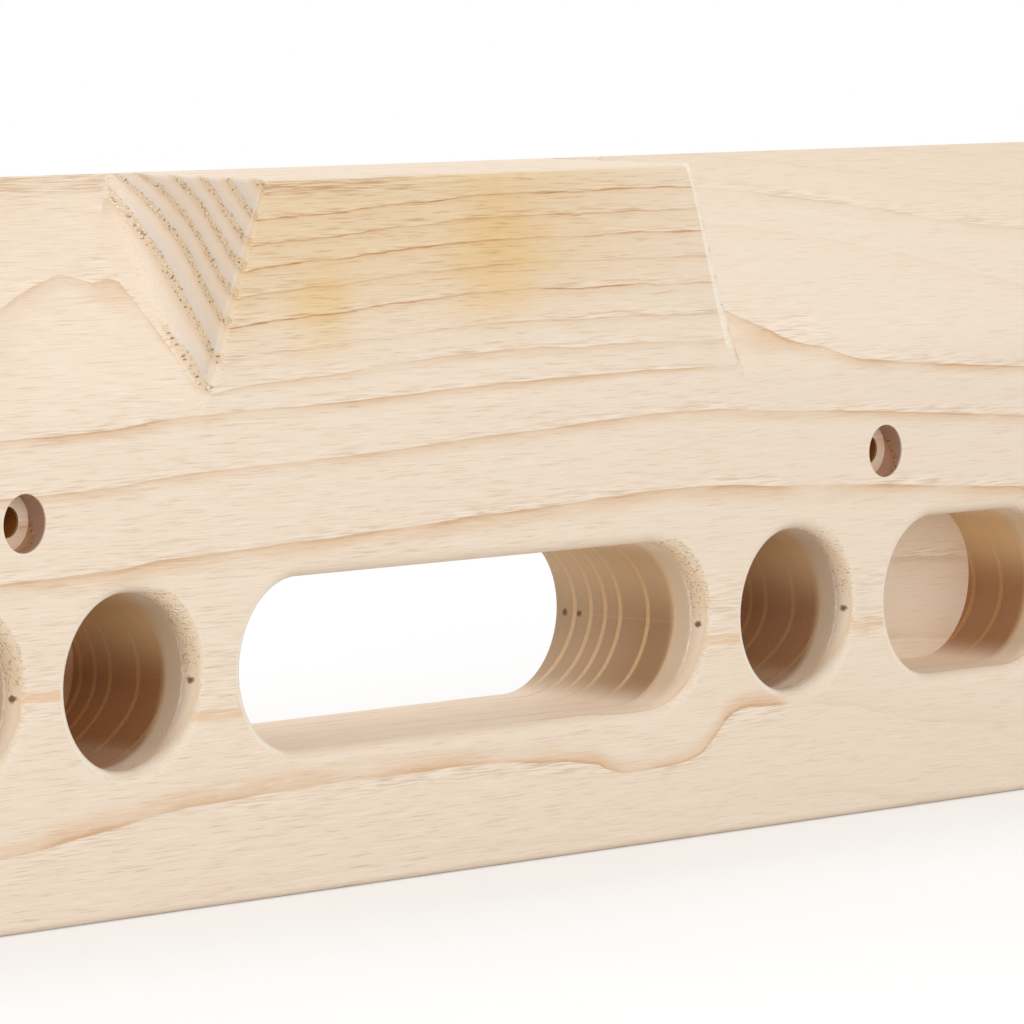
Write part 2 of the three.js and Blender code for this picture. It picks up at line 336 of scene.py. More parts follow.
@dataclass
class MilledBoard:
    """The whole board: one plank, its top form, its finger holds and its screw holes.

    Sizes are in millimetres, and each pocket is its length and its depth.
    """

    long_round: float = 2.0
    end_round: float = 1.5
    round_steps: int = 6
    hold_web: float = 8.2
    slot_length: float = 148.5
    round_hole_depth: float = 35.0
    inner_pocket: tuple[float, float] = (63.5, 26.0)
    outer_pocket: tuple[float, float] = (80.0, 22.0)
    inner_screw: float = 139.0
    outer_screw_inset: float = 27.0
    top: TopForm = TopForm()
    sharp_angle: float = 32.0
    flat_face_weight: int = 100

    def __post_init__(self) -> None:
        """Takes the plank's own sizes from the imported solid."""
        low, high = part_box("board")
        self.half = high[0] / MM
        self.front = low[1] / MM
        self.back = high[1] / MM
        self.height = high[2] / MM
        self.rise = self.height - self.top.foot_height

    def holds(self) -> list[FingerHold]:
        """Lists the finger holds.

        Returns:
            The holds, worked out from the middle slot outwards.
        """
        slot = FingerHold("slot", 0.0, self.slot_length, self.back - self.front + self.top.overrun)
        out = [slot]
        row = (
            ("round_hole", slot.height, self.round_hole_depth),
            ("inner_pocket", *self.inner_pocket),
            ("outer_pocket", *self.outer_pocket),
        )
        reach = self.slot_length / 2
        for name, length, depth in row:
            x = reach + 2 * slot.mouth_round + self.hold_web + length / 2
            reach = x + length / 2
            for side in (-1, 1):
                out.append(FingerHold(name, side * x, length, depth))
        return out

    def screw_holes(self) -> list[ScrewHole]:
        """Lists the two inner and the two outer screw holes."""
        places = (self.inner_screw, self.half - self.outer_screw_inset)
        return [ScrewHole("screw_hole", side * x) for x in places for side in (-1, 1)]

    def blank(self) -> bpy.types.Object:
        """Makes the plank with its eased edges.

        Returns:
            The plank.
        """
        inset = [(0.0, self.end_round)]
        for i in range(1, self.round_steps + 1):
            angle = (i / self.round_steps) * QUARTER_TURN
            inset.append((
                self.end_round * (1 - math.cos(angle)),
                self.end_round * (1 - math.sin(angle)),
            ))
        ends = [(-self.half + along, inward) for along, inward in inset]
        ends += [(self.half - along, inward) for along, inward in reversed(inset)]
        return Solids.loft("board_wood", [
            [Vector((x, y, z)) * MM for y, z in self.section(inward)] for x, inward in ends
        ])

    def section(self, inward: float) -> list[tuple[float, float]]:
        """Gives the plank's cross-section, drawn in by a distance.

        Args:
            inward: How far the outline lies inside the full one.

        Returns:
            The outline as pairs of Y and Z.
        """
        radius = self.long_round
        spots = [
            (self.back - radius, radius, -QUARTER_TURN),
            (self.back - radius, self.height - radius, 0.0),
            (self.front + radius, self.height - radius, QUARTER_TURN),
            (self.front + radius, radius, math.pi),
        ]
        out = []
        for y, z, angle in spots:
            out += arc((y, z), radius - inward, angle, angle + QUARTER_TURN, self.round_steps)
        return out

    def profile(self) -> list[tuple[Vector, Vector]]:
        """Walks up the section of the sloper, from the front to past the back.

        Returns:
            Pairs of a place in the section and the direction that the wood looks in there,
            both with an X of zero.
        """
        form = self.top
        slope = math.atan2(self.rise, self.back - self.front - form.top_land)
        turn = QUARTER_TURN - slope
        start = form.foot_height - form.foot_blend * math.tan(turn / 2)
        out = []
        for i in range(form.blend_steps + 1):
            angle = turn * (i / form.blend_steps)
            face = Vector((0, -math.cos(angle), math.sin(angle)))
            centre = Vector((0, self.front + form.foot_blend, start))
            out.append((centre + face * form.foot_blend, face))
        last, face = out[-1]
        past = (self.back + form.overrun - last.y) / math.cos(slope)
        for i in range(1, form.sloper_steps + 1):
            share = i / form.sloper_steps
            up = Vector((0, math.cos(slope), math.sin(slope))) * past * share
            out.append((last + up, face))
        return out

    def wall_x(self, height: float) -> float:
        """Gives where the wall of the block lies at a height, on the right half."""
        share = (height - self.top.foot_height) / self.rise
        return self.top.block_foot_width / 2 - self.top.lean * share

    def shoulder_ring(self, place: Vector, face: Vector) -> list[Vector]:
        """Gives the cutter's section where one step of the sloper runs into the block's wall.

        A ball rolls along the sloper and the wall and leaves the hollow fillet. Where the
        wall is high, the fillet ends on it and the round of the block's front edge leads on
        to the front. Where it is low, the two rounds run into each other on the wall, and
        they fade out at the foot.

        Args:
            place: A place in the section of the sloper.
            face: The direction that the sloper looks in there.

        Returns:
            The ring, from the far end along the sloper, the rounds and back outside.
        """
        form = self.top
        wall = Vector((self.rise, 0, form.lean)).normalized()
        depth = place.y - self.front
        inner = min(form.wall_fillet, form.foot_fillet + form.fillet_growth_share * depth)
        outer = max(form.block_round, form.foot_round - form.round_fall_share * depth)
        ball = place + face * inner
        ball.x = self.wall_x(ball.z) + inner / wall.x
        away = square_to(wall, face)
        wall_flat = Vector((wall.dot(away), wall.dot(face)))
        front = Vector((-away.y, -face.y))
        tilt = front.length
        front.normalize()
        level = (ball.y - self.front) / tilt - outer
        wall_level = -inner - outer
        across = wall_flat.cross(front)
        centre = Vector((
            (wall_level * front.y - level * wall_flat.y) / across,
            (level * wall_flat.x - wall_level * front.x) / across,
        ))
        meets = -wall_flat
        if wall_flat.cross(centre + wall_flat * outer) < 0:
            reach = math.sqrt(max((inner + outer) ** 2 - level ** 2, 0.0))
            centre = front * level + Vector((-front.y, front.x)) * reach
            meets = centre / (inner + outer)
            turning = ball + (away * meets.x + face * meets.y) * inner
            ball.x += self.wall_x(turning.z) - turning.x
        rounds = arc((0.0, 0.0), inner, -QUARTER_TURN,
                     math.atan2(meets.y, meets.x), form.fine_steps)
        rounds += arc((centre.x, centre.y), outer, math.atan2(-meets.y, -meets.x),
                      math.atan2(front.y, front.x), form.fine_steps)
        ring = [Vector((self.half + form.overrun, place.y, place.z))]
        ring += [ball + away * u + face * v for u, v in rounds]
        ring.append(ring[-1] + Vector((0, -form.overrun, 0)))
        ring.append(ring[0] + face * self.height)
        return ring

    def shoulder(self, side: int) -> bpy.types.Object:
        """Makes the body that cuts one sloper up to the block's wall, with both its rounds.

        Args:
            side: 1 for the right half and -1 for the left.

        Returns:
            The cutter.
        """
        rings = [self.shoulder_ring(place, face) for place, face in self.profile()]
        over = self.top.overrun
        lead_in = Vector((0, -over * self.top.lead_in_share, -over))
        rings.insert(0, [point + lead_in for point in rings[0]])
        for ring in rings:
            for point in ring:
                point *= MM
                point.x *= side
        return Solids.loft("shoulder", rings)

    def edge_tool(self, side: int) -> bpy.types.Object:
        """Makes the sliver outside the rounded edge between the block's wall and its top.

        Args:
            side: 1 for the right half and -1 for the left.

        Returns:
            The cutter.
        """
        form = self.top
        turn = math.atan2(self.rise, form.lean)
        radius = form.block_round
        over = form.sliver
        edge_x = form.block_top_width / 2
        round_x = edge_x - radius * math.tan(turn / 2)
        section = [(round_x, self.height + over)]
        section += arc((round_x, self.height - radius), radius,
                       QUARTER_TURN, QUARTER_TURN - turn, form.fine_steps)
        section.append((
            round_x + (radius + over) * math.sin(turn),
            self.height - radius + (radius + over) * math.cos(turn),
        ))
        section.append((edge_x + over, self.height + over))
        start = self.front - form.overrun
        end = self.back - form.top_land
        rings = [[Vector((side * x, y, z)) * MM for x, z in section] for y in (start, end)]
        return Solids.loft("edge", rings)

    def build(self) -> bpy.types.Object:
        """Mills the board from its blank.

        Returns:
            The finished board, shaded smooth where its faces run into each other.
        """
        board = self.blank()
        for side in (1, -1):
            Solids.cut_away(board, self.shoulder(side))
            Solids.cut_away(board, self.edge_tool(side))
        for hold in self.holds():
            Solids.cut_away(board, hold.cutter(self.front))
        for hole in self.screw_holes():
            Solids.cut_away(board, hole.cutter(self.front, self.back))
        board.data.materials.clear()
        board.data.shade_smooth()
        board.data.set_sharp_from_angle(angle=math.radians(self.sharp_angle))
        weighted = board.modifiers.new("even_faces", "WEIGHTED_NORMAL")
        weighted.keep_sharp = True
        weighted.weight = self.flat_face_weight
        return board

    @staticmethod
    def dress(board: bpy.types.Object, finish: AshFinish) -> None:
        """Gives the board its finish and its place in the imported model.

        Args:
            board: The milled board.
            finish: The wood's finish.
        """
        board.data.materials.append(finish.material())
        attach(board, "root")
        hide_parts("board")


class Sum(Enum):
    """What a Math node does with its values."""

    PLUS = "ADD"
    MINUS = "SUBTRACT"
    TIMES = "MULTIPLY"
    OVER = "DIVIDE"
    POWER = "POWER"
    MOST = "MAXIMUM"
    LEAST = "MINIMUM"
    FLOOR = "FLOOR"
    REST = "FRACT"
    SIZE = "ABSOLUTE"
    ROOT = "SQRT"
    BELOW = "LESS_THAN"
    ABOVE = "GREATER_THAN"


class Grip(Enum):
    """How a curve runs through its points."""

    STRAIGHT = "VECTOR"
    SMOOTH = "AUTO"


class Layer(Enum):
    """How one colour lies on another."""

    COVER = "MIX"
    TINT = "MULTIPLY"


Value = Union["Wire", float]
Paint = Union["Wire", Rgba]


class Graph:
    """Adds nodes to a tree and wires them to each other."""

    MIX_INPUTS = (0, 6, 7)
    MIX_OUTPUT = 2
    NOISE_MIDDLE = 0.5
    NOISE_SPREAD = 4.0

    def __init__(self, tree: bpy.types.NodeTree) -> None:
        """Keeps the tree that the nodes go into."""
        self.tree = tree

    def feed(self, socket: bpy.types.NodeSocket, value: object) -> None:
        """Brings a wire to a socket, or sets the socket to a plain value.

        Args:
            socket: The socket.
            value: The wire, number, vector or colour.
        """
        if isinstance(value, Wire):
            self.tree.links.new(value.socket, socket)
        else:
            socket.default_value = value

    def node(self, kind: str, *values: object, **named: object) -> bpy.types.Node:
        """Adds a node and feeds its inputs.

        Args:
            kind: The node's type, without its common start.
            values: What goes into its first inputs, in order.
            named: What goes into other inputs, named with _ for each blank.

        Returns:
            The new node.
        """
        made = self.tree.nodes.new("ShaderNode" + kind)
        for socket, value in zip(made.inputs, values):
            self.feed(socket, value)
        for name, value in named.items():
            self.feed(made.inputs[name.replace("_", " ")], value)
        return made

    def wire(self, node: bpy.types.Node, output: Union[int, str] = 0) -> Wire:
        """Gives the wire from one of a node's outputs."""
        return Wire(self, node.outputs[output])

    def parts(self, kind: str, value: Wire) -> list[Wire]:
        """Takes a vector or a colour apart, with the kind of node that does so."""
        return [Wire(self, socket) for socket in self.node(kind, value).outputs]

    def math(self, how: Sum, first: Value, second: Value = 0.0) -> Wire:
        """Works out a number from one or two others.

        Args:
            how: What is done with them.
            first: The first number.
            second: The second number, for what takes two.

        Returns:
            The result.
        """
        made = self.node("Math")
        made.operation = how.value
        for socket, value in zip(made.inputs, (first, second)):
            self.feed(socket, value)
        return self.wire(made)

    def blend(
        self, share: Value, below: Paint, above: Paint, how: Layer = Layer.COVER,
    ) -> Wire:
        """Lays one colour over another.

        Args:
            share: How much of it is laid, from 0 to 1.
            below: The colour below.
            above: The colour that is laid on it.
            how: Whether it covers the colour below or tints it.

        Returns:
            The mixed colour.
        """
        made = self.node("Mix")
        made.data_type = "RGBA"
        made.blend_type = how.value
        for index, value in zip(self.MIX_INPUTS, (share, below, above)):
            self.feed(made.inputs[index], value)
        return self.wire(made, self.MIX_OUTPUT)

    def stretch(self, place: Wire, along: float, across: float) -> Wire:
        """Draws a pattern out along the grain.

        Args:
            place: Where the pattern is read.
            along: The length of its cells along the grain.
            across: Their width across it.

        Returns:
            The place, counted in cells.
        """
        made = self.node("VectorMath")
        made.operation = "MULTIPLY"
        self.feed(made.inputs[0], place)
        self.feed(made.inputs[1], (1 / along, 1 / across, 1 / across))
        return self.wire(made)

    def noise(self, place: Wire, spots: Spots) -> Wire:
        """Gives a soft noise around zero.

        Args:
            place: Where it is read.
            spots: The length and width of its spots, and how many finer layers it has.

        Returns:
            Values from about -1 to 1.
        """
        along, across, detail = spots
        made = self.node("TexNoise", Scale=1.0, Detail=detail,
                         Vector=self.stretch(place, along, across))
        return (self.wire(made, "Fac") - self.NOISE_MIDDLE) * self.NOISE_SPREAD


@dataclass(frozen=True)
class Wire:
    """A value on its way through the nodes, with what they can do to it."""

    graph: Graph
    socket: bpy.types.NodeSocket

    def __add__(self, other: Value) -> Wire:
        """Adds another value."""
        return self.graph.math(Sum.PLUS, self, other)

    def __sub__(self, other: Value) -> Wire:
        """Takes another value away."""
        return self.graph.math(Sum.MINUS, self, other)

    def __rsub__(self, other: float) -> Wire:
        """Takes this value away from a plain number."""
        return self.graph.math(Sum.MINUS, other, self)

    def __mul__(self, other: Value) -> Wire:
        """Multiplies by another value."""
        return self.graph.math(Sum.TIMES, self, other)

    def __truediv__(self, other: Value) -> Wire:
        """Divides by another value."""
        return self.graph.math(Sum.OVER, self, other)

    def __pow__(self, other: float) -> Wire:
        """Raises to a power."""
        return self.graph.math(Sum.POWER, self, other)

    def __abs__(self) -> Wire:
        """Drops the sign."""
        return self.graph.math(Sum.SIZE, self)

    def most(self, other: Value) -> Wire:
        """Gives the larger of two values."""
        return self.graph.math(Sum.MOST, self, other)

    def least(self, other: Value) -> Wire:
        """Gives the smaller of two values."""
        return self.graph.math(Sum.LEAST, self, other)

    def above(self, limit: Value) -> Wire:
        """Gives 1 above a limit and 0 up to it."""
        return self.graph.math(Sum.ABOVE, self, limit)

    def below(self, limit: Value) -> Wire:
        """Gives 1 below a limit and 0 from it on."""
        return self.graph.math(Sum.BELOW, self, limit)

    def step(self, start: float, end: float, before: float = 0.0, after: float = 1.0) -> Wire:
        """Turns the value into a smooth step.

        Args:
            start: Where the step starts.
            end: Where it ends, on either side of its start.
            before: What it gives up to its start.
            after: What it gives from its end on.

        Returns:
            The stepped value.
        """
        if start > end:
            start, end, before, after = end, start, after, before
        made = self.graph.node("MapRange", self, start, end, before, after)
        made.interpolation_type = "SMOOTHSTEP"
        return self.graph.wire(made, "Result")

    def ease(self, none: float, full: float) -> Wire:
        """Gives one number where this share is 0 and another where it is 1."""
        return self.step(0.0, 1.0, none, full)

    def window(self, rise: Step, fall: Step) -> Wire:
        """Gives 1 between a rising step and a falling one, and 0 beyond them."""
        return self.step(*rise) * self.step(*fall)

    def band(self, middle: float, half: float, soft: float) -> Wire:
        """Gives 1 within a distance of a middle value, and falls softly to 0 beyond it."""
        return abs(self - middle).step(half + soft, half)

    def levels(self, starts: Pairs) -> Wire:
        """Gives a level that holds from one place to the next.

        Args:
            starts: Pairs of a place and the level from there on.

        Returns:
            The level.
        """
        total: Value = starts[0][1]
        for (_, before), (place, level) in zip(starts, starts[1:]):
            total = self.above(place) * (level - before) + total
        return total

    def curve(self, points: Pairs, grip: Grip) -> Wire:
        """Reads a curve.

        Args:
            points: The curve's points in order.
            grip: How it runs through them.

        Returns:
            The curve's height at this value.
        """
        start, end = points[0][0], points[-1][0]
        low = min(height for _, height in points)
        high = max(height for _, height in points)
        made = self.graph.node("FloatCurve")
        line = made.mapping.curves[0]
        shares = [((x - start) / (end - start), (y - low) / (high - low)) for x, y in points]
        line.points[0].location = shares[0]
        line.points[1].location = shares[-1]
        for share in shares[1:-1]:
            line.points.new(*share)
        for point in line.points:
            point.handle_type = grip.value
        made.mapping.update()
        self.graph.feed(made.inputs["Value"], (self - start) / (end - start))
        return self.graph.wire(made) * (high - low) + low


def distance(first: tuple[Wire, Wire], second: tuple[Value, Value]) -> Wire:
    """Gives how far two points of a plane lie apart."""
    across, up = ((a - b) ** 2.0 for a, b in zip(first, second))
    return across.graph.math(Sum.ROOT, across + up)


@dataclass(frozen=True)
class Faded:
    """A part of the board with faint ring lines, by its limits in millimetres."""

    x: tuple[float, float]
    z: tuple[float, float]
    radius: tuple[float, float]


@dataclass(frozen=True)
class Growth:
    """Where the tree's rings lie in the plank. Millimetres.

    The rings are measured from a pith behind the board, and every pair gives a value at a
    place. The pith's heights, the line on the right sloper, and the shifts on the block, on
    the right and at the lower edge go by X. The shifts on the block's left wall go by Y. A
    shift adds to the distance from the pith, so a ring's line moves toward the pith.
    """

    pith_y: float = 53.5
    pith_heights: Pairs = (
        (-330, 39.0), (-230, 40.0), (-146, 42.0), (-117, 42.8), (-93, 44.5), (-42, 45.5),
        (0, 47.2), (20, 47.8), (45, 49.0), (65, 49.5), (98, 48.0), (129, 46.5), (160, 44.5),
        (219, 41.0), (330, 38.0),
    )
    ring_radii: tuple[float, ...] = (
        28.0, 30.5, 36.8, 41.6, 45.8, 50.2, 58.3, 66.3, 74.6, 80.4, 88.0, 94.5, 99.5, 103.4,
        108.1, 112.3, 116.4, 120.1, 124.0, 128.4, 133.5, 138.0,
    )
    least_width: float = 1.0
    block_shifts: Pairs = (
        (-330, 0.0), (-150, 0.0), (-128, -0.9), (-118, -1.6), (-107, -1.9), (-103, -1.3),
        (-99, -0.2), (-95.5, 0.5), (-91, 0.7), (-88.7, 1.9), (-87, 2.9), (-80, 2.4),
        (-74, 2.0), (-66, 1.6), (-46, 1.3), (-27, 0.8), (11, 0.9), (31, 1.7), (51, 2.1),
        (65, 2.5), (84, 2.3), (90, 0.0), (330, 0.0),
    )
    block_foot: Step = (102.0, 108.0)
    wall_shifts: Pairs = (
        (-21.5, 0.0), (-14, 0.7), (-6, -0.3), (0, -1.3), (4, -2.1), (8, -3.5), (15, -6.3),
        (21.5, -9.5),
    )
    wall_sides: Window = ((-104.0, -94.0), (-66.0, -78.0))
    wall_foot: Step = (110.0, 135.0)
    lower_dents: Pairs = (
        (-330, 0.5), (-146, 1.1), (-117, 1.7), (-58, 2.1), (-20, 1.8), (19, 0.8), (39, -0.3),
        (56, -1.6), (64, -1.5), (80, 0.9), (98, 2.6), (160, 1.0), (330, 0.0),
    )
    lower_edge: Step = (45.0, 30.0)
    right_line: Pairs = (
        (84, 119.0), (98, 114.0), (108, 109.3), (118, 105.6), (140, 102.2), (190, 98.9),
        (330, 97.0),
    )
    right_shifts: Pairs = (
        (84, 0.0), (90, 0.1), (98, 0.06), (108, -0.3), (118, -0.8), (130, 0.0), (330, 0.0),
    )
    right_step: Step = (-6.0, 6.0, -0.8, 0.8)
    right_sides: Window = ((84.0, 87.0), (150.0, 120.0))
    right_levels: Window = ((94.0, 101.0), (130.0, 122.0))
    warp: Spots = (140.0, 45.0, 1.0)
    warp_size: float = 0.25
    waves: Spots = (12.0, 3.5, 2.0)
    wave_size: Step = (100.0, 112.0, 0.07, 0.25)
    off_pith: Step = (6.0, 24.0)
    faded: tuple[Faded, ...] = (
        Faded((-330, -82), (104, 150), (101.5, 140)),
        Faded((88, 330), (104, 150), (96.5, 101.5)),
        Faded((88, 330), (104, 150), (105.5, 140)),
        Faded((-330, 330), (0, 25), (84.0, 95)),
        Faded((103, 330), (0, 42), (78.0, 82.5)),
    )
    faded_soft: float = 4.0
    faded_share: float = 0.15


@dataclass(frozen=True)
class Milling:
    """The areas of the holds where the milling's marks, painted highlights and painted shade lie.
    Millimetres, in the board's own frame.
    """

    front: float = -21.5
    marks_end: float = 300.0
    off_back: Step = (-0.95, -0.6)
    row: Band = (48.4, 18.6, 0.4)
    right_ends: Step = (-0.3, -0.6)
    left_rims: Step = (0.12, 0.3)
    mouth: Step = (4.2, 2.7)
    past_mouth: Step = (3.2, 4.7)
    screws: Band = (82.8, 6.5, 0.2)
    sunk: Step = (0.15, 0.5)


@dataclass(frozen=True)
class Mottle:
    """The sizes of the noises that all patterns of the wood share. Millimetres."""

    patch: Spots = (30.0, 6.0, 1.0)
    fibre: Spots = (9.0, 0.3, 2.0)
    fine: Spots = (8.0, 0.34, 1.0)
    warm: Spots = (2.5, 2.5, 2.0)
    ragged: Spots = (0.9, 0.9, 1.0)


class Spot:
    """All that the wood's patterns read at one place on the board."""

    def __init__(self, graph: Graph, growth: Growth, milling: Milling, mottle: Mottle) -> None:
        """Works out the place, its ring, the soft noises and the milled areas.

        Args:
            graph: The material's graph.
            growth: Where the rings lie.
            milling: Where the milling's marks and the painted light and shade lie.
            mottle: The sizes of the noises.
        """
        self.graph = graph
        coordinates = graph.node("TexCoord")
        self.place = graph.stretch(graph.wire(coordinates, "Object"), MM, MM)
        self.x, self.y, self.z = graph.parts("SeparateXYZ", self.place)
        facing = graph.parts("SeparateXYZ", graph.wire(coordinates, "Normal"))
        self.x_facing, y_facing, self.z_facing = facing
        self.end_facing = abs(self.x_facing)
        self.front_facing = y_facing * -1.0
        self.off_back = self.front_facing.step(*milling.off_back)
        self.patch = graph.noise(self.place, mottle.patch)
        self.fibre = graph.noise(self.place, mottle.fibre)
        self.fine = graph.noise(self.place, mottle.fine)
        self.warm = graph.noise(self.place, mottle.warm)
        self.ragged = graph.noise(self.place, mottle.ragged)
        self.radius = self.from_pith(growth)
        self.read_ring(growth)
        self.clear = self.clearness(growth)
        self.read_areas(milling)

    def from_pith(self, growth: Growth) -> Wire:
        """Gives the distance from the tree's middle, with the trunk's own unevenness.

        Args:
            growth: Where the rings lie.

        Returns:
            The distance, shifted where the rings bend.
        """
        pith = self.x.curve(growth.pith_heights, Grip.SMOOTH)
        radius = distance((self.y, self.z), (growth.pith_y, pith))
        dent = self.x.curve(growth.lower_dents, Grip.SMOOTH) * self.z.step(*growth.lower_edge)
        beneath = self.x.curve(growth.right_line, Grip.SMOOTH) - self.z
        bulge = self.x.curve(growth.right_shifts, Grip.STRAIGHT) - beneath.step(*growth.right_step)
        bulge = bulge * self.x.window(*growth.right_sides) * self.z.window(*growth.right_levels)
        lift = self.x.curve(growth.block_shifts, Grip.SMOOTH) * self.z.step(*growth.block_foot)
        on_wall = self.x.window(*growth.wall_sides) * self.z.step(*growth.wall_foot)
        steeper = on_wall * self.y.curve(growth.wall_shifts, Grip.SMOOTH)
        fitted = (lift + steeper) * self.off_back
        warp = self.graph.noise(self.place, growth.warp) * growth.warp_size
        wave = self.graph.noise(self.place, growth.waves) * radius.step(*growth.wave_size)
        uneven = (warp + wave) * abs(self.z - pith).step(*growth.off_pith)
        return radius + dent + bulge + fitted + uneven

    def read_ring(self, growth: Growth) -> None:
        """Finds the ring, its width, and how far the place lies from its start and end.

        Args:
            growth: Where the rings lie.
        """
        radius_of = tuple(enumerate(growth.ring_radii))
        # The whole part of the index is the ring, and its rest is how far through it this is.
        index = self.radius.curve(tuple((r, i) for i, r in radius_of), Grip.STRAIGHT)
        ring = self.graph.math(Sum.FLOOR, index)
        start = ring.curve(radius_of, Grip.STRAIGHT)
        end = (ring + 1.0).least(radius_of[-1][0]).curve(radius_of, Grip.STRAIGHT)
        self.width = (end - start).most(growth.least_width)
        self.since = self.graph.math(Sum.REST, index) * self.width
        self.until = self.width - self.since
        chance = self.graph.node("TexWhiteNoise")
        chance.noise_dimensions = "1D"
        self.graph.feed(chance.inputs["W"], ring)
        self.ring_chance = self.graph.wire(chance, "Value")

    def clearness(self, growth: Growth) -> Value:
        """Gives how clear the ring lines are.

        Args:
            growth: Where the rings lie, and where they are faint.

        Returns:
            1, or less in the faded parts.
        """
        clear: Value = 1.0
        soft = growth.faded_soft
        for part in growth.faded:
            start, end = part.x
            inside = self.x.window((start - soft, start + soft), (end + soft, end - soft))
            for value, (low, high) in ((self.z, part.z), (self.radius, part.radius)):
                inside = inside * value.above(low) * value.below(high)
            clear = inside.ease(1.0, growth.faded_share) * clear
        return clear

    def read_areas(self, milling: Milling) -> None:
        """Finds the areas that the milling's marks, painted highlights and painted shade lie in,
        each from 0 to 1.

        Args:
            milling: Where the milling's marks and the painted light and shade lie.
        """
        self.depth = self.y - milling.front
        within = abs(self.x).below(milling.marks_end) * self.off_back
        self.row = self.z.band(*milling.row) * within
        self.right_end = self.row * self.x_facing.step(*milling.right_ends)
        self.left_rim = self.row * self.x_facing.step(*milling.left_rims)
        self.mouth = self.depth.step(*milling.mouth)
        self.held = self.row * self.depth.step(*milling.past_mouth)
        self.screws = self.z.band(*milling.screws) * self.depth.step(*milling.sunk) * within


@dataclass(frozen=True)
class TornGrain:
    """Open vessels and torn fibres where the cutter crossed the grain, with painted highlights on
    the fibres and painted shade in the vessels.
    """

    burr_highlight: Rgba = linear(254, 240, 214)
    pit_and_shade: Rgba = linear(154, 118, 84)
    seam_share: Step = (0.1, 0.7, 0.0, 0.42)
    grain_share: float = 0.85
    ring_start: Step = (0.0, 0.2)
    early_end: Step = (1.7, 0.9)
    crossed: Step = (0.06, 0.4)
    patches: Step = (-1.0, 0.4, 0.6, 1.0)
    corner_side: Step = (0.0, -0.25)
    corner_top: Step = (0.1, -0.2)
    corner_shares: Step = (60.0, 100.0, 0.85, 0.4)
    cell: tuple[float, float] = (1.8, 0.55)
    grain_edge: Step = (0.55, 0.25)
    torn_enough: Step = (0.1, 0.4)
    dark_share: float = 0.42
    dark_depths: tuple[float, float] = (0.35, 1.0)
    bright_share: float = 0.56
    pits_in_row: float = 0.45
    fibre_height: float = 0.03
    burr_height: float = 0.35
    pit_depth: float = 0.4

    def share(self, at: Spot) -> Wire:
        """Gives how torn the cut grain is.

        Args:
            at: The place.

        Returns:
            High where vessels are cut across, and in the mouths' upper right.
        """
        early = (at.since.step(*self.early_end) * at.since.step(*self.ring_start)
                 * at.end_facing.step(*self.crossed) * (1.0 - at.row)
                 * at.patch.step(*self.patches))
        corner = (at.x_facing.step(*self.corner_side) * at.z_facing.step(*self.corner_top)
                  * at.mouth * at.row * at.x.step(*self.corner_shares))
        return early.most(corner)

    def grains(self, at: Spot, torn: Wire) -> tuple[Wire, Wire]:
        """Strews open vessels and torn fibres, more of them where the grain is torn.

        Args:
            at: The place.
            torn: How torn the grain is.

        Returns:
            The dark vessels, darkened partly as painted shade, and the bright fibres, painted as
            highlights.
        """
        cells = at.graph.node("TexVoronoi", Scale=1.0, Randomness=1.0,
                              Vector=at.graph.stretch(at.place, *self.cell))
        size = at.graph.wire(cells, "Distance").step(*self.grain_edge)
        size = size * torn.step(*self.torn_enough)
        chance, strength, _ = at.graph.parts("SeparateColor", at.graph.wire(cells, "Color"))
        dark = chance.below(torn * self.dark_share) * strength.ease(*self.dark_depths)
        bright = chance.above(1.0 - torn * self.bright_share)
        return size * dark * at.row.ease(1.0, self.pits_in_row), size * bright

    def paint(self, at: Spot, colour: Wire) -> tuple[Wire, Wire]:
        """Colours the torn grain, with painted highlights on the fibres and painted shade in the
        vessels.

        Args:
            at: The place.
            colour: The colour so far.

        Returns:
            The colour, and the height of the fibres and vessels in millimetres.
        """
        torn = self.share(at)
        pits, burrs = self.grains(at, torn)
        colour = at.graph.blend(torn.step(*self.seam_share), colour, SEAM)
        # Painted highlight on the pale torn fibres.
        colour = at.graph.blend(burrs * self.grain_share, colour, self.burr_highlight)
        # The open vessels, darkened partly as painted shade between the fibres.
        colour = at.graph.blend(pits * self.grain_share, colour, self.pit_and_shade)
        height = at.fine * self.fibre_height + burrs * self.burr_height - pits * self.pit_depth
        return colour, height


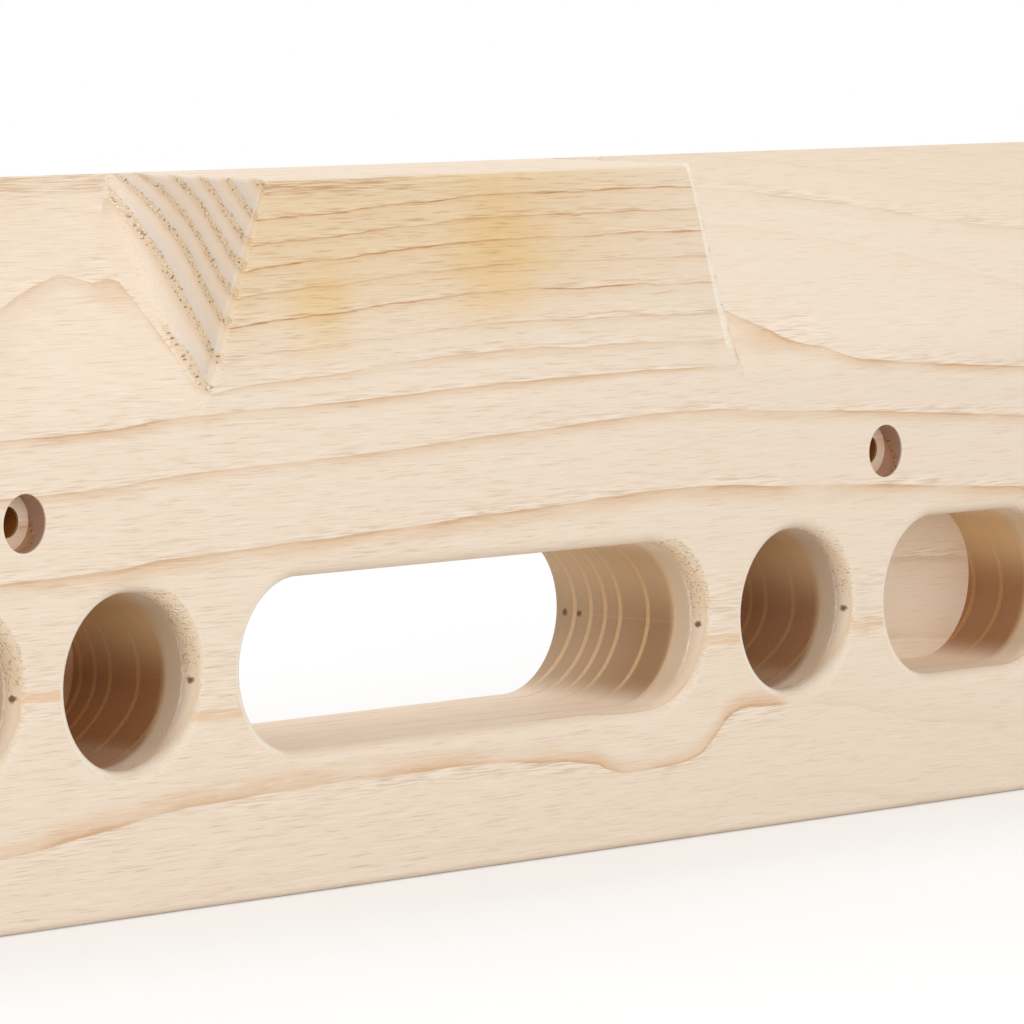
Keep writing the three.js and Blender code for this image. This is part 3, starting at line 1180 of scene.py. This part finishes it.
@dataclass(frozen=True)
class LongGrain:
    """The faces that run along the grain: ring tails and lines, vessels, fibres, the heart, and
    painted highlights on the bright fibres and vessels.
    """

    tail: Rgba = linear(226, 189, 149)
    heart: Rgba = linear(235, 198, 160)
    line: Rgba = linear(200, 154, 108)
    stroke: Rgba = linear(205, 168, 130)
    tail_reach: Step = (2.0, 0.2)
    tail_power: float = 1.5
    tail_patches: Step = (-1.0, 0.6, 0.3, 0.85)
    tail_on_block: Step = (97.0, 103.0, 1.0, 0.35)
    tail_in_holds: float = 0.3
    tail_chances: tuple[float, float] = (0.55, 1.0)
    heart_heights: Pairs = (
        (-330, 46.0), (-133, 47.6), (-81, 39.8), (82, 43.6), (330, 41.0),
    )
    heart_band: Band = (0.0, 0.6, 1.0)
    heart_faces: Step = (0.5, 0.8, 0.0, 0.75)
    block_reach: Step = (97.0, 110.0)
    block_faces: Step = (0.7, 0.95)
    fibres_to_right: Step = (-40.0, 110.0, 1.0, 0.6)
    fibres_on_block: float = 1.4
    dark_fibres: Step = (0.15, 1.1, 0.0, 0.5)
    lit_fibres: Step = (-0.2, -1.0, 0.0, 0.45)
    early_end: Step = (1.7, 0.1)
    early_patches: Step = (-0.8, 0.6, 0.2, 1.0)
    dark_vessels: Step = (0.05, 0.6, 0.0, 0.5)
    lit_vessels: Step = (-0.05, -0.6, 0.0, 0.55)
    line_fray: float = 0.22
    line_width: Step = (0.34, 0.12)
    line_patches: Step = (-0.9, 0.5, 0.2, 1.0)
    line_chances: tuple[float, float] = (0.35, 0.75)
    line_breaks: Step = (-0.7, 0.5, 0.5, 1.0)
    line_on_block: float = 1.5

    def paint(self, at: Spot) -> Wire:
        """Colours these faces.

        Args:
            at: The place.

        Returns:
            The colour.
        """
        graph = at.graph
        tail = (at.until.step(*self.tail_reach) ** self.tail_power
                * at.patch.step(*self.tail_patches) * at.radius.step(*self.tail_on_block)
                * at.held.ease(1.0, self.tail_in_holds) * at.ring_chance.ease(*self.tail_chances))
        colour = graph.blend(tail * at.clear, PALE_WOOD, self.tail)
        off_heart = at.z - at.x.curve(self.heart_heights, Grip.SMOOTH)
        heart = off_heart.band(*self.heart_band) * at.front_facing.step(*self.heart_faces)
        colour = graph.blend(heart * at.held.ease(1.0, 0.0), colour, self.heart)
        on_block = at.radius.step(*self.block_reach) * at.front_facing.step(*self.block_faces)
        level = at.x.step(*self.fibres_to_right) * on_block.ease(1.0, self.fibres_on_block)
        early = at.since.step(*self.early_end) * at.patch.step(*self.early_patches) * at.clear
        # The bright fibres and vessels take the glint colour: painted highlights on their relief.
        for share, paint in (
            (at.fibre.step(*self.dark_fibres) * level, self.stroke),
            (at.fibre.step(*self.lit_fibres) * level, GLINT),
            (at.fine.step(*self.dark_vessels) * early, self.stroke),
            (at.fine.step(*self.lit_vessels) * early, GLINT),
        ):
            colour = graph.blend(share, colour, paint)
        frayed = at.until + at.fibre * self.line_fray
        line = (frayed.step(*self.line_width) * at.patch.step(*self.line_patches)
                * at.ring_chance.ease(*self.line_chances) * at.fine.step(*self.line_breaks)
                * at.clear * on_block.ease(1.0, self.line_on_block))
        return graph.blend(line, colour, self.line)


@dataclass(frozen=True)
class EndGrain:
    """The faces that cut the grain across: grey and pink rings, and the cutter's rubbing."""

    grey: Rgba = linear(220, 208, 196)
    pink: Rgba = linear(231, 212, 192)
    tan: Rgba = linear(226, 194, 156)
    rubbed: Rgba = linear(226, 202, 168)
    grown: Step = (0.3, 0.7)
    late: Step = (0.9, 0.0, 0.0, 0.6)
    early: Step = (1.6, 1.0, 0.0, 0.5)
    rubbing: tuple[float, float] = (0.3, 0.65)

    def paint(self, at: Spot) -> Wire:
        """Colours these faces.

        Args:
            at: The place.

        Returns:
            The colour.
        """
        grown = (at.since / at.width).step(*self.grown)
        colour = at.graph.blend(grown, self.grey, self.pink)
        colour = at.graph.blend(at.until.step(*self.late), colour, self.tan)
        colour = at.graph.blend(at.since.step(*self.early), colour, SEAM)
        return at.graph.blend(at.held.ease(*self.rubbing) * at.row, colour, self.rubbed)


@dataclass(frozen=True)
class Aging:
    """The yellowed front of the block, with its stains and the streaks at its top left.

    A stain is its X, its Z and its reach.
    """

    aged: Rgba = linear(233, 206, 168)
    stain: Rgba = linear(253, 243, 216)
    streak: Rgba = linear(184, 142, 98)
    reach: Step = (97.0, 116.0)
    to_right: Step = (15.0, 75.0, 0.9, 0.35)
    front_faces: Step = (0.5, 0.9)
    share_off_front: float = 0.08
    stains: tuple[tuple[float, float, float], ...] = ((-52.0, 122.0, 15.0), (4.0, 133.0, 24.0))
    stain_fray: float = 4.0
    streak_top: Step = (145.0, 148.0)
    streak_side: Step = (0.0, -40.0)
    streak_fibres: Step = (-0.5, 0.5, 0.0, 0.7)

    def paint(self, at: Spot, colour: Wire) -> Wire:
        """Ages the wood.

        Args:
            at: The place.
            colour: The colour so far.

        Returns:
            The colour.
        """
        tint = tuple(min(aged / pale, 1.0) for aged, pale in zip(self.aged, PALE_WOOD))
        on_front = at.front_facing.step(*self.front_faces)
        aged = (at.radius.step(*self.reach) * at.x.step(*self.to_right)
                * on_front.ease(self.share_off_front, 1.0))
        colour = at.graph.blend(aged, colour, tint, Layer.TINT)
        for x, z, reach in self.stains:
            away = distance((at.x, at.z), (x, z)) + at.patch * self.stain_fray
            near = away.step(reach, 0.0) * on_front
            colour = at.graph.blend(near, colour, self.stain, Layer.TINT)
        streaks = (at.z.step(*self.streak_top) * at.x.step(*self.streak_side)
                   * at.fibre.step(*self.streak_fibres) * on_front)
        return at.graph.blend(streaks, colour, self.streak)


@dataclass(frozen=True)
class ScorchAndShade:
    """The walls and floors that the cutter browned, with painted shade in the recesses, and the
    rings' starts left pale.

    Each hold is browned and shaded by its own share, given from the X where it starts to apply.
    The upper walls take lighter, warmer colours as painted light, and in the slot the browning
    fades by up to a quarter deeper in.
    """

    scorch_shade: Rgba = linear(164, 117, 72)
    upper_lit_tint: Rgba = linear(255, 237, 204)
    slot_scorch_shade: Rgba = linear(160, 126, 84)
    slot_upper_lit: Rgba = linear(222, 205, 180)
    spared: Rgba = linear(200, 164, 118)
    upper_lit_spared: Rgba = linear(255, 248, 232)
    slot_spared: Rgba = linear(246, 228, 198)
    bore: Rgba = linear(170, 112, 48)
    slot_half: float = 84.0
    round_holes: Band = (107.7, 16.0, 1.0)
    wall_faces: Step = (0.7, 0.3)
    wall_ends: Step = (0.05, 0.7, 0.01, 1.0)
    round_walls: Step = (0.7, 0.3, 0.0, 0.8)
    floors: Step = (25.0, 30.0)
    slot_fading: Step = (12.0, 36.0, 0.0, 0.25)
    hold_shares: Pairs = ((-330, 0.85), (-132, 0.93), (-84, 0.84), (84, 0.86), (132, 0.87))
    held_share: float = 0.17
    past_pale_mouth: Step = (6.9, 10.3)
    seam: Band = (0.65, 0.35, 0.4)
    seam_breaks: Step = (-0.8, 0.6, 0.6, 1.0)
    middle_line: Band = (47.5, 0.1, 0.2)
    middle_share: float = 0.14
    spared_share: float = 0.85
    lit_upper_half: Step = (45.4, 60.4)
    bore_walls: Step = (0.9, 0.5, 0.25, 0.7)
    bore_depth: Step = (5.3, 5.6)

    def burnt_and_shaded(self, at: Spot, in_slot: Wire) -> Wire:
        """Gives how far the walls and floors of the holds are browned: the cutter's burn and
        painted shade of the recesses.

        Args:
            at: The place.
            in_slot: 1 at the slot and else 0.

        Returns:
            The share, from 0 to 1.
        """
        walls = at.front_facing.step(*self.wall_faces) * at.end_facing.step(*self.wall_ends)
        in_round = abs(at.x).band(*self.round_holes)
        walls = walls.most(at.front_facing.step(*self.round_walls) * in_round)
        floors = at.depth.step(*self.floors) * (1.0 - in_slot)
        reached = (at.held * self.held_share).most(at.depth.step(*self.past_pale_mouth))
        fading = in_slot * at.depth.step(*self.slot_fading)
        return (walls.most(floors) * at.row * at.x.levels(self.hold_shares) * reached
                * (1.0 - fading))

    def paint(self, at: Spot, end_share: Wire, colour: Wire) -> Wire:
        """Browns the holds with burn and painted shade, with painted light on their upper walls,
        and browns the screw holes.

        Args:
            at: The place.
            end_share: How far the face cuts the grain across.
            colour: The colour so far.

        Returns:
            The colour.
        """
        graph = at.graph
        in_slot = abs(at.x).below(self.slot_half)
        seam = at.since.band(*self.seam) * at.fine.step(*self.seam_breaks) * end_share
        spared = seam.most(at.z.band(*self.middle_line) * self.middle_share)
        # Painted light: the upper half of each hold takes a lighter, warmer colour.
        high = at.z.step(*self.lit_upper_half)
        scorch_shade = graph.blend(high, graph.blend(in_slot, self.scorch_shade, self.slot_scorch_shade),
                             graph.blend(in_slot, self.upper_lit_tint, self.slot_upper_lit))
        pale = graph.blend(in_slot, graph.blend(high, self.spared, self.upper_lit_spared),
                           self.slot_spared)
        scorch_shade = graph.blend(spared * self.spared_share, scorch_shade, pale)
        # The cutter's burn and the painted shade of the recesses, tinted over the wood.
        colour = graph.blend(self.burnt_and_shaded(at, in_slot), colour, scorch_shade, Layer.TINT)
        deep = at.depth.step(*self.bore_depth)
        bored = at.screws * deep.most(at.front_facing.step(*self.bore_walls))
        return graph.blend(bored, colour, self.bore, Layer.TINT)


@dataclass(frozen=True)
class MarksAndHighlights:
    """The dark dots in the mouths, and painted highlights on the mouths' ridges and left rims and
    along the block's right edge.

    The dots are pairs of Y and Z. The highlighted edge is a line on the front that passes through
    its X at its Z and leans outward below it.
    """

    mark: Rgba = linear(112, 60, 26)
    turns: Spots = (400.0, 1.0, 1.0)
    ridge_bend: float = 0.2
    ridge_highlight: Band = (3.6, 0.12, 0.22)
    ridge_height: Band = (47.5, 5.0, 9.0)
    ridge_breaks: Step = (-0.8, 0.4, 0.35, 1.0)
    rim_highlight: Step = (1.8, 1.2, 0.0, 0.8)
    dots: Pairs = ((-19.7, 47.5), (19.0, 47.5), (14.8, 47.6))
    dot_size: Step = (1.0, 0.35, 0.0, 0.9)
    dot_fray: float = 0.2
    edge_x: float = 82.9
    edge_z: float = 115.0
    edge_lean: float = 0.398
    edge_outside: Step = (-3.5, -2.5)
    edge_inside: Step = (0.5, 0.0)
    edge_width: Step = (145.0, 112.0, 2.0, 3.6)
    edge_foot: Step = (107.5, 110.0)
    edge_depth: Step = (3.0, 2.0)
    edge_breaks: Step = (-1.0, 0.6, 0.45, 0.85)

    def paint(self, at: Spot, colour: Wire) -> Wire:
        """Draws the dark dots and the painted highlights.

        Args:
            at: The place.
            colour: The colour so far.

        Returns:
            The colour.
        """
        graph = at.graph
        bent = at.depth + graph.noise(at.place, self.turns) * self.ridge_bend
        ridge_highlight = (bent.band(*self.ridge_highlight) * at.z.band(*self.ridge_height)
                 * at.warm.step(*self.ridge_breaks) * at.right_end)
        # Painted highlight along a ridge in the mouths.
        colour = graph.blend(ridge_highlight, colour, GLINT)
        # Painted highlight on the left rims of the mouths.
        colour = graph.blend(at.left_rim * at.depth.step(*self.rim_highlight), colour, GLINT)
        for dot in self.dots:
            away = distance((at.y, at.z), dot) + at.ragged * self.dot_fray
            colour = graph.blend(away.step(*self.dot_size) * at.right_end, colour, self.mark)
        # Painted highlight along the block's right edge.
        edge = (self.edge_z - at.z) * self.edge_lean + self.edge_x
        inside = edge - at.x
        edge_highlight = (inside.step(*self.edge_outside)
                  * (inside - at.z.step(*self.edge_width)).step(*self.edge_inside)
                  * at.z.step(*self.edge_foot) * at.depth.step(*self.edge_depth)
                  * at.ragged.step(*self.edge_breaks))
        return graph.blend(edge_highlight, colour, GLINT)


@dataclass(frozen=True)
class AshFinish:
    """Bare sanded ash: rings, vessels and fibres through the whole plank, milling marks, and
    painted highlights and painted shade.
    """

    growth: Growth = Growth()
    milling: Milling = Milling()
    mottle: Mottle = Mottle()
    long_grain: LongGrain = LongGrain()
    end_grain: EndGrain = EndGrain()
    torn_grain: TornGrain = TornGrain()
    aging: Aging = Aging()
    scorch_and_shade: ScorchAndShade = ScorchAndShade()
    marks_and_highlights: MarksAndHighlights = MarksAndHighlights()
    end_faces: Step = (0.25, 0.7)
    roughness: float = 0.6
    shine: float = 0.3
    relief: float = 0.8

    def material(self) -> bpy.types.Material:
        """Makes the wood.

        Returns:
            The material, which reads only the board's own coordinates and normals.
        """
        material = bpy.data.materials.new("ash_wood")
        material.use_nodes = True
        graph = Graph(material.node_tree)
        shader = material.node_tree.nodes["Principled BSDF"]
        spot = Spot(graph, self.growth, self.milling, self.mottle)
        end_share = spot.end_facing.step(*self.end_faces)
        colour = graph.blend(end_share, self.long_grain.paint(spot), self.end_grain.paint(spot))
        colour, height = self.torn_grain.paint(spot, colour)
        colour = self.aging.paint(spot, colour)
        colour = self.scorch_and_shade.paint(spot, end_share, colour)
        colour = self.marks_and_highlights.paint(spot, colour)
        bump = graph.node("Bump", Strength=self.relief, Distance=MM, Height=height)
        graph.feed(shader.inputs["Base Color"], colour)
        graph.feed(shader.inputs["Roughness"], self.roughness)
        graph.feed(shader.inputs["Specular IOR Level"], self.shine)
        graph.feed(shader.inputs["Normal"], graph.wire(bump, "Normal"))
        return material


@dataclass(frozen=True)
class Lamp:
    """A square soft lamp. Metres and watts."""

    name: str
    place: tuple[float, float, float]
    width: float
    power: float


@dataclass(frozen=True)
class Studio:
    """The camera, the pale floor, the white surroundings and the soft lamps. Metres."""

    aim: tuple[float, float, float] = (0.00925, -0.0215, 0.07644)
    distance: float = 1.5765
    yaw: float = -48.98
    pitch: float = 4.79
    roll: float = 0.37
    lens: float = 257.8
    sensor: float = 36.0
    sight: float = 16.0
    floor_reach: float = 1.6
    floor_colour: Rgba = (0.8, 0.8, 0.8, 1.0)
    floor_glow: float = 0.24
    soft_light: float = 0.56
    lamps: tuple[Lamp, ...] = (
        Lamp("top_softbox", (0.3, 0.5, 1.9), 1.6, 10.0),
        Lamp("front_softbox", (-0.9, -1.8, 0.9), 1.6, 20.0),
        Lamp("back_softbox", (-0.3, 1.7, 0.9), 1.6, 9.0),
    )

    def camera(self) -> None:
        """Sets the camera at the photograph's angle."""
        yaw, pitch, roll = (math.radians(a) for a in (self.yaw, self.pitch, self.roll))
        back = Vector((
            math.sin(yaw) * math.cos(pitch),
            -math.cos(yaw) * math.cos(pitch),
            math.sin(pitch),
        ))
        right = Vector((0, 0, 1)).cross(back).normalized()
        up = back.cross(right)
        turned_right = right * math.cos(roll) + up * math.sin(roll)
        turned_up = up * math.cos(roll) - right * math.sin(roll)
        data = bpy.data.cameras.new("camera")
        data.lens = self.lens
        data.sensor_width = self.sensor
        data.clip_end = self.sight
        camera = bpy.data.objects.new("camera", data)
        turn = Matrix((turned_right, turned_up, back)).transposed().to_4x4()
        place = Vector(self.aim) + back * self.distance
        camera.matrix_world = Matrix.Translation(place) @ turn
        bpy.context.scene.collection.objects.link(camera)
        bpy.context.scene.camera = camera

    def hang(self, lamp: Lamp) -> None:
        """Hangs a lamp so that it faces the board.

        Args:
            lamp: The lamp.
        """
        data = bpy.data.lights.new(lamp.name, "AREA")
        data.shape = "SQUARE"
        data.size = lamp.width
        data.energy = lamp.power
        hung = bpy.data.objects.new(lamp.name, data)
        hung.location = lamp.place
        hung.rotation_mode = "QUATERNION"
        toward = Vector(self.aim) - Vector(lamp.place)
        hung.rotation_quaternion = toward.to_track_quat("-Z", "Y")
        bpy.context.scene.collection.objects.link(hung)

    def floor(self) -> bpy.types.Object:
        """Lays the pale floor that the board stands on.

        Returns:
            The floor.
        """
        reach = self.floor_reach
        mesh = bpy.data.meshes.new("floor")
        mesh.from_pydata(
            [(-reach, -reach, 0), (reach, -reach, 0), (reach, reach, 0), (-reach, reach, 0)],
            [], [(0, 1, 2, 3)])
        floor = bpy.data.objects.new("floor", mesh)
        bpy.context.scene.collection.objects.link(floor)
        floor.data.materials.append(self.floor_material())
        return floor

    def floor_material(self) -> bpy.types.Material:
        """Makes the floor's matt white, which the camera sees brighter than it lights.

        Returns:
            The material.
        """
        material = bpy.data.materials.new("studio_floor")
        material.use_nodes = True
        material.node_tree.nodes.clear()
        graph = Graph(material.node_tree)
        matt = graph.node("BsdfDiffuse", Color=self.floor_colour)
        strength = self.seen_rays(graph) * self.floor_glow
        glow = graph.node("Emission", Color=WHITE, Strength=strength)
        total = graph.node("AddShader", graph.wire(matt), graph.wire(glow))
        graph.node("OutputMaterial", Surface=graph.wire(total))
        return material

    @staticmethod
    def seen_rays(graph: Graph) -> Wire:
        """Gives 1 for rays from the camera, straight or by gloss or glass, and else 0.

        Args:
            graph: The graph of a material or of the world.

        Returns:
            1 or 0.
        """
        path = graph.node("LightPath")
        seen = graph.wire(path, "Is Camera Ray")
        for name in ("Is Glossy Ray", "Is Transmission Ray"):
            seen = seen.most(graph.wire(path, name))
        return seen

    def surroundings(self) -> None:
        """Makes the world white to the camera and a plain soft light to the wood."""
        world = bpy.data.worlds.new("studio")
        bpy.context.scene.world = world
        world.use_nodes = True
        world.node_tree.nodes.clear()
        graph = Graph(world.node_tree)
        light = graph.node("Background", Color=WHITE, Strength=self.soft_light)
        white = graph.node("Background", Color=WHITE, Strength=1.0)
        both = graph.node("MixShader", self.seen_rays(graph), graph.wire(light), graph.wire(white))
        graph.node("OutputWorld", Surface=graph.wire(both))

    def build(self) -> bpy.types.Object:
        """Sets up the whole studio.

        Returns:
            Its floor.
        """
        bpy.context.scene.view_settings.view_transform = "Standard"
        self.camera()
        floor = self.floor()
        self.surroundings()
        for lamp in self.lamps:
            self.hang(lamp)
        return floor


def main() -> None:
    """Builds the studio and the board, and logs their face counts."""
    logging.basicConfig(level=logging.INFO, format="%(name)s: %(message)s")
    floor = Studio().build()
    log.info("%s: %d faces", floor.name, len(floor.data.polygons))
    plank = MilledBoard()
    board = plank.build()
    plank.dress(board, AshFinish())
    log.info("%s: %d faces", board.name, len(board.data.polygons))


if __name__ == "__main__":
    main()
